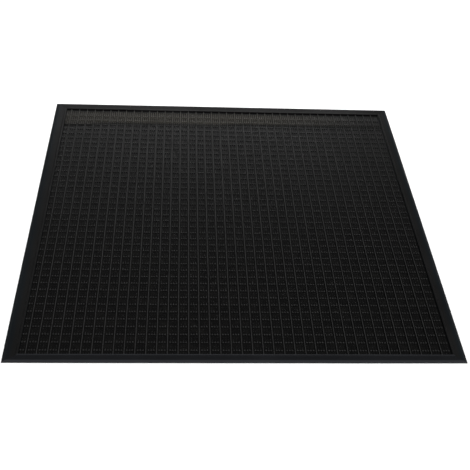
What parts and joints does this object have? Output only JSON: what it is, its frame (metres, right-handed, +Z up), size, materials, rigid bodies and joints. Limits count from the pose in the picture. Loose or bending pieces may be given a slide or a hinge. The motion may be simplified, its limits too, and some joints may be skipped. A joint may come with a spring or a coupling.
{
  "type": "door mat",
  "caption": "Black rubber scraper door mat: a ribbed and pinned panel inside a raised, bevelled rim with mitred corners.",
  "frame": {"origin": "on the floor, under the middle of the mat", "axes": "+X to the right across the ribs, +Y to the back along the ribs, +Z up"},
  "size_m": [0.868, 0.888, 0.0082],
  "materials": {
    "panel_rubber": "matt moulded black rubber",
    "rib_rubber": "moulded black rubber, crests worn to a slight sheen",
    "edging_rubber": "smooth moulded black rubber with a soft sheen"
  },
  "bodies": {
    "root": {"panel_web": "panel_rubber", "scraper_rib_01": "rib_rubber", "scraper_rib_02": "rib_rubber", "scraper_rib_03": "rib_rubber", "scraper_rib_04": "rib_rubber", "scraper_rib_05": "rib_rubber", "scraper_rib_06": "rib_rubber", "scraper_rib_07": "rib_rubber", "scraper_rib_08": "rib_rubber", "scraper_rib_09": "rib_rubber", "scraper_rib_10": "rib_rubber", "scraper_rib_11": "rib_rubber", "scraper_rib_12": "rib_rubber", "scraper_rib_13": "rib_rubber", "scraper_rib_14": "rib_rubber", "scraper_rib_15": "rib_rubber", "scraper_rib_16": "rib_rubber", "scraper_rib_17": "rib_rubber", "scraper_rib_18": "rib_rubber", "scraper_rib_19": "rib_rubber", "scraper_rib_20": "rib_rubber", "scraper_rib_21": "rib_rubber", "scraper_rib_22": "rib_rubber", "scraper_rib_23": "rib_rubber", "scraper_rib_24": "rib_rubber", "scraper_rib_25": "rib_rubber", "scraper_rib_26": "rib_rubber", "scraper_rib_27": "rib_rubber", "scraper_rib_28": "rib_rubber", "scraper_rib_29": "rib_rubber", "scraper_rib_30": "rib_rubber", "scraper_rib_31": "rib_rubber", "scraper_rib_32": "rib_rubber", "scraper_rib_33": "rib_rubber", "scraper_rib_34": "rib_rubber", "scraper_rib_35": "rib_rubber", "scraper_rib_36": "rib_rubber", "scraper_rib_37": "rib_rubber", "scraper_rib_38": "rib_rubber", "scraper_rib_39": "rib_rubber", "scraper_rib_40": "rib_rubber", "edging_front": "edging_rubber", "edging_right": "edging_rubber", "edging_back": "edging_rubber", "edging_left": "edging_rubber"}
  },
  "joints": []
}
